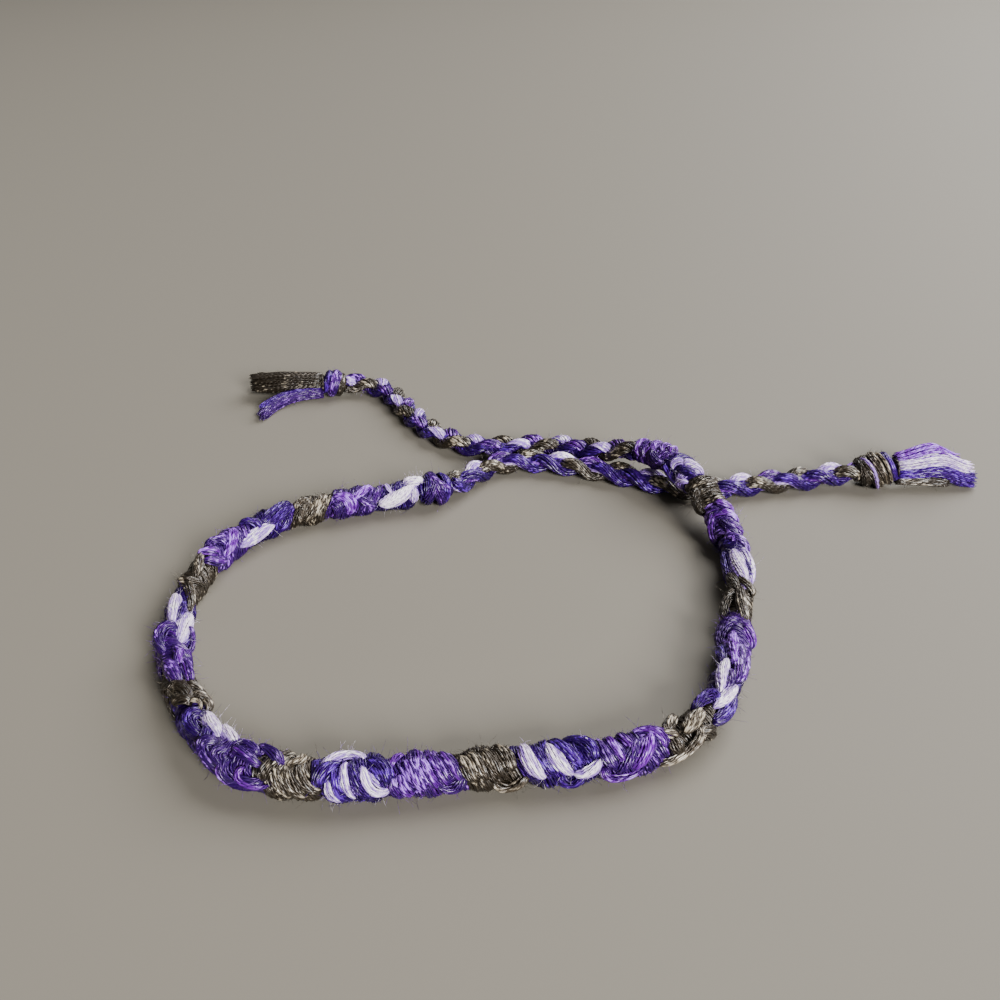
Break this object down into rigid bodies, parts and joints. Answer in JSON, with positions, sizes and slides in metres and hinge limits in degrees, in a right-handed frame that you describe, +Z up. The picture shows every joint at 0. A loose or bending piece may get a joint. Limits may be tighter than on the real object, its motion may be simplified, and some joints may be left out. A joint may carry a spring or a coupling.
{
  "type": "woven friendship bracelet",
  "caption": "Knotted cotton floss bracelet lying as an open loop, with loose plaited ties that end in knots and short tassels.",
  "frame": {"origin": "on the surface that the bracelet lies on, under the middle of the knotted band's outline, where a wrist's middle would be", "axes": "+Z up through the loop, +X towards the right tie's tassel, +Y away from the wearer"},
  "size_m": [0.0904, 0.0794, 0.0065],
  "materials": {
    "brown": "taupe six-ply cotton floss with a soft cream sheen along its plies",
    "purple": "medium purple six-ply cotton floss with a lilac sheen along its plies",
    "dark_white": "dark violet and pale lilac-white six-ply cotton flosses worked side by side"
  },
  "bodies": {
    "root": {"purple_hitches_1": "purple", "dark_white_hitches_1": "dark_white", "brown_hitches_1": "brown", "purple_hitches_2": "purple", "dark_white_hitches_2": "dark_white", "brown_hitches_2": "brown", "purple_hitches_3": "purple", "dark_white_hitches_3": "dark_white", "brown_hitches_3": "brown", "purple_hitches_4": "purple", "dark_white_hitches_4": "dark_white", "brown_hitches_4": "brown", "purple_hitches_5": "purple", "dark_white_hitches_5": "dark_white", "brown_hitches_5": "brown", "purple_hitches_6": "purple", "dark_white_hitches_6": "dark_white", "brown_hitches_6": "brown", "purple_hitches_7": "purple", "dark_white_hitches_7": "dark_white", "brown_hitches_7": "brown", "purple_hitches_8": "purple", "dark_white_hitches_8": "dark_white", "brown_hitches_8": "brown", "purple_hitches_9": "purple", "dark_white_hitches_9": "dark_white", "ball_knot": "purple", "right_tie_brown": "brown", "right_tie_purple": "purple", "right_tie_dark_white": "dark_white", "right_end_knot": "brown", "right_tassel": "purple", "left_tie_brown": "brown", "left_tie_purple": "purple", "left_tie_dark_white": "dark_white", "left_end_knot": "purple", "left_tassel": "brown"}
  },
  "joints": []
}
